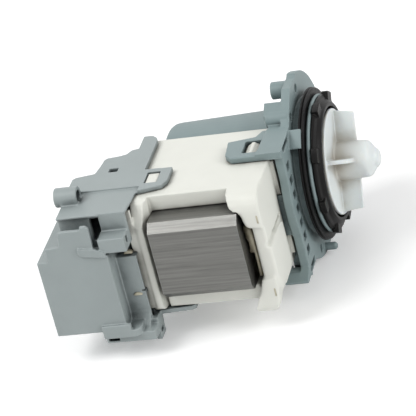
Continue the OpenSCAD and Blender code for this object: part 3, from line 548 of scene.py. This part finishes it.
def addPrism(bm, outline, place, low, high):
    lower, upper = [[bm.verts.new(Vector(place(a, b, level)) * mm) for a, b in outline] for level in (low, high)]
    count = len(outline)
    faces = [bm.faces.new(lower), bm.faces.new(upper[::-1])]
    for i in range(count):
        faces.append(bm.faces.new((lower[i], upper[i], upper[(i + 1) % count], lower[(i + 1) % count])))
    bmesh.ops.recalc_face_normals(bm, faces=faces)


def addBox(bm, low, high):
    outline = [(low[0], low[1]), (high[0], low[1]), (high[0], high[1]), (low[0], high[1])]
    addPrism(bm, outline, alongZ, low[2], high[2])


def addLathe(bm, profile, count=64):
    # Closed solid of revolution round the pump's axis, from (x, radius) pairs that start and end on it
    rings = []
    for x, radius in profile[1:-1]:
        turns = [2 * math.pi * i / count for i in range(count)]
        rings.append([bm.verts.new(Vector((x, radius * math.cos(t), radius * math.sin(t))) * mm) for t in turns])
    tips = [bm.verts.new(Vector((end[0], 0, 0)) * mm) for end in (profile[0], profile[-1])]
    faces = []
    for i in range(count):
        j = (i + 1) % count
        faces.append(bm.faces.new((tips[0], rings[0][i], rings[0][j])))
        faces.append(bm.faces.new((tips[1], rings[-1][j], rings[-1][i])))
        for near, far in zip(rings, rings[1:]):
            faces.append(bm.faces.new((near[i], far[i], far[j], near[j])))
    bmesh.ops.recalc_face_normals(bm, faces=faces)


# Rear cover: curved fronts of the two wire pockets beside the connector box, and the scoop under them
coverValues = {
    "left": -62.1,
    "right": -53.9,
    "front": -62.5,
    "sag": 3.6,
    "thick": 1.0,
    "steps": 8,
    "spans": ((-10.4, 3.9), (-24.9, -12.5)),
    "scoopRight": -54.3,
    "scoop": ((-61.0, -17.0), (-62.4, -18.5), (-62.9, -20.6), (-64.0, -22.6), (-66.0, -23.9), (-69.0, -24.3),
              (-69.0, -26.0), (-61.0, -26.0)),
}


def addCoverDetails(bm, v):
    width = v["right"] - v["left"]
    shares = [i / v["steps"] for i in range(v["steps"] + 1)]
    curve = [(v["left"] + width * share, v["front"] + v["sag"] * (1 - share) ** 2) for share in shares]
    outline = curve + [(x, y + v["thick"]) for x, y in reversed(curve)]
    for low, high in v["spans"]:
        addPrism(bm, outline, alongZ, low, high)
    addPrism(bm, v["scoop"], alongX, v["left"], v["scoopRight"])


# Motor housing: wall seen through the gap beside the flange, strip that closes the left post against the wire
# pockets, and snap block in the window of the cover's tab
housingValues = {
    "wallLow": (-7.2, -32.6, -18.5),
    "wallHigh": (-4.2, -30.0, 20.5),
    "postLow": (-55.6, -59.4, -20.6),
    "postHigh": (-53.0, -58.0, 20.8),
    "snapLow": (-49.7, -45.1, 21.9),
    "snapHigh": (-45.2, -37.5, 23.4),
}


def addHousingDetails(bm, v):
    for part in ("wall", "post", "snap"):
        addBox(bm, v[part + "Low"], v[part + "High"])


# Flange housing: rib that closes the lower end of the gap
flangeValues = {
    "ribLow": (-6.8, -29.2, -31.0),
    "ribHigh": (-0.8, -28.0, -13.0),
}


def addFlangeDetails(bm, v):
    addBox(bm, v["ribLow"], v["ribHigh"])


# Impeller: hub shoulder that runs into a low nose, in place of the plain turned one
noseValues = {
    "cut": 22.0,
    "overlap": 1.0,
    "profile": ((22.0, 7.0), (22.9, 6.75), (23.7, 6.1), (24.4, 5.2), (25.0, 4.3), (25.4, 3.8), (25.9, 3.55),
                (26.4, 3.1), (26.8, 2.4), (27.1, 1.3), (27.2, 0.0)),
}


def addImpellerNose(bm, v):
    everything = bm.verts[:] + bm.edges[:] + bm.faces[:]
    sliced = bmesh.ops.bisect_plane(
        bm, geom=everything, plane_co=(v["cut"] * mm, 0, 0), plane_no=(1, 0, 0), clear_outer=True)
    rim = [part for part in sliced["geom_cut"] if isinstance(part, bmesh.types.BMEdge)]
    bmesh.ops.holes_fill(bm, edges=rim, sides=0)
    back = v["cut"] - v["overlap"]
    first = v["profile"][0][1]
    addLathe(bm, ((back, 0.0), (back, first)) + v["profile"])


# Moulded pieces with rounded edges, which stand for the CAD nodes of the same name: voxel in millimetres, smooth
# in passes, keep as the share of faces that stay, and round as a box with more passes
softValues = {
    "flange_housing": {"voxel": 0.28, "smooth": 2, "keep": 0.17},
    "rear_cover": {"voxel": 0.24, "smooth": 2, "keep": 0.24},
    "motor_housing": {"voxel": 0.28, "smooth": 3, "keep": 0.25,
                      "round": {"low": (-13.2, -64, -32), "high": (-2, -48, 24), "smooth": 60}},
    "impeller": {"voxel": 0.22, "smooth": 3, "keep": 0.4},
    "retaining_ring": {"voxel": 0.22, "smooth": 1, "keep": 0.4},
}
detailSteps = {
    "rear_cover": (addCoverDetails, coverValues),
    "motor_housing": (addHousingDetails, housingValues),
    "flange_housing": (addFlangeDetails, flangeValues),
    "impeller": (addImpellerNose, noseValues),
}


def applyModifiers(piece):
    mesh = bpy.data.meshes.new_from_object(piece.evaluated_get(bpy.context.evaluated_depsgraph_get()))
    piece.modifiers.clear()
    piece.data = mesh


def addSmooth(piece, passes, groupName=""):
    smooth = piece.modifiers.new("smooth", "SMOOTH")
    smooth.factor = 0.5
    smooth.iterations = passes
    smooth.vertex_group = groupName


def roundMore(piece, v):
    inside = [point.index for point in piece.data.vertices
              if all(v["low"][k] * mm <= point.co[k] <= v["high"][k] * mm for k in range(3))]
    group = piece.vertex_groups.new(name="round")
    group.add(inside, 1.0, "REPLACE")
    addSmooth(piece, v["smooth"], group.name)


def makeMoulded(name, v):
    piece = bpy.data.objects.new(name + "_moulded", frame["nodes"][name].data.copy())
    scene.collection.objects.link(piece)
    if name in detailSteps:
        addDetails, values = detailSteps[name]
        bm = bmesh.new()
        bm.from_mesh(piece.data)
        addDetails(bm, values)
        bm.to_mesh(piece.data)
        bm.free()
    remesh = piece.modifiers.new("remesh", "REMESH")
    remesh.mode = "VOXEL"
    remesh.voxel_size = v["voxel"] * mm
    addSmooth(piece, v["smooth"])
    if "round" in v:
        applyModifiers(piece)
        roundMore(piece, v["round"])
    piece.modifiers.new("thin", "DECIMATE").ratio = v["keep"]
    applyModifiers(piece)
    piece.vertex_groups.clear()
    mesh = piece.data
    mesh.polygons.foreach_set("use_smooth", [True] * len(mesh.polygons))
    mesh.materials.clear()
    mesh.materials.append(materials[slotOf[name]])
    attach(piece, impellerBody if name == "impeller" else staticBody)
    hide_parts(name)
    print("stage:", piece.name, len(mesh.polygons), "faces")


for name, values in softValues.items():
    makeMoulded(name, values)


# Small beige pieces that ride on their own, with the same slight bevel where they are prisms
smallValues = {
    "slot": "beige_plastic",
    "bevel": 0.2,
    "bevelSegments": 2,
}


def bevelAll(bm, v):
    bmesh.ops.bevel(bm, geom=bm.edges[:], offset=v["bevel"] * mm, segments=v["bevelSegments"], affect="EDGES")


def addPiece(name, bm, v):
    mesh = bpy.data.meshes.new(name)
    bm.to_mesh(mesh)
    bm.free()
    mesh.polygons.foreach_set("use_smooth", [True] * len(mesh.polygons))
    mesh.materials.append(materials[v["slot"]])
    piece = bpy.data.objects.new(name, mesh)
    scene.collection.objects.link(piece)
    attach(piece, staticBody)


# Rounded ends of the bobbins, which look out over the two wire pockets
bobbinEndValues = {
    "centres": ((-57.0, -61.4, 4.4), (-56.9, -63.0, -12.3)),
    "width": 3.4,
    "rise": 1.1,
    "depth": 1.8,
    "steps": 12,
    "edgeDepth": 0.35,
    "faceShare": 0.82,
}


def makeBobbinEnds(v):
    bm = bmesh.new()
    layers = ((v["depth"], 1.0), (v["edgeDepth"], 1.0), (0.0, v["faceShare"]))
    for x, y, z in v["centres"]:
        rows = []
        for i in range(v["steps"] + 1):
            turn = math.pi * i / v["steps"]
            across, up = -math.cos(turn) * v["width"] / 2, math.sin(turn) * v["rise"]
            rows.append([bm.verts.new(Vector((x + across * share, y + back, z + up * share)) * mm)
                         for back, share in layers])
        for first, second in zip(rows, rows[1:]):
            for k in range(2):
                bm.faces.new((first[k], second[k], second[k + 1], first[k + 1]))
        bm.faces.new([row[2] for row in rows])
        bm.faces.new([row[0] for row in reversed(rows)])
        bm.faces.new(rows[0] + rows[-1][::-1])
    bmesh.ops.recalc_face_normals(bm, faces=bm.faces[:])
    addPiece("bobbin_ends", bm, smallValues)


# Edges of the bobbins in the gap between the laminations and the motor housing
bobbinEdgeValues = {
    "outline": ((-13.5, 8.4), (-10.7, 8.4), (-10.7, -12.6), (-11.7, -12.6), (-11.7, -2.5), (-13.3, -2.5),
                (-13.3, -1.4), (-12.9, -1.2), (-12.9, 2.2), (-13.5, 3.2)),
    "front": -57.4,
    "back": -51.0,
}


def makeBobbinEdges(v):
    bm = bmesh.new()
    addPrism(bm, v["outline"], alongY, v["front"], v["back"])
    bevelAll(bm, smallValues)
    addPiece("bobbin_edges", bm, smallValues)


# Two thin gate marks on the front of the motor housing
gateValues = {
    "x": -6.9,
    "width": 0.6,
    "front": -60.2,
    "depth": 1.6,
    "spans": ((10.6, 14.0), (-20.0, -16.6)),
}


def makeGateMarks(v):
    bm = bmesh.new()
    half = v["width"] / 2
    for low, high in v["spans"]:
        addBox(bm, (v["x"] - half, v["front"], low), (v["x"] + half, v["front"] + v["depth"], high))
    bevelAll(bm, smallValues)
    addPiece("gate_marks", bm, smallValues)


makeBobbinEnds(bobbinEndValues)
makeBobbinEdges(bobbinEdgeValues)
makeGateMarks(gateValues)
print("stage: small pieces are made")
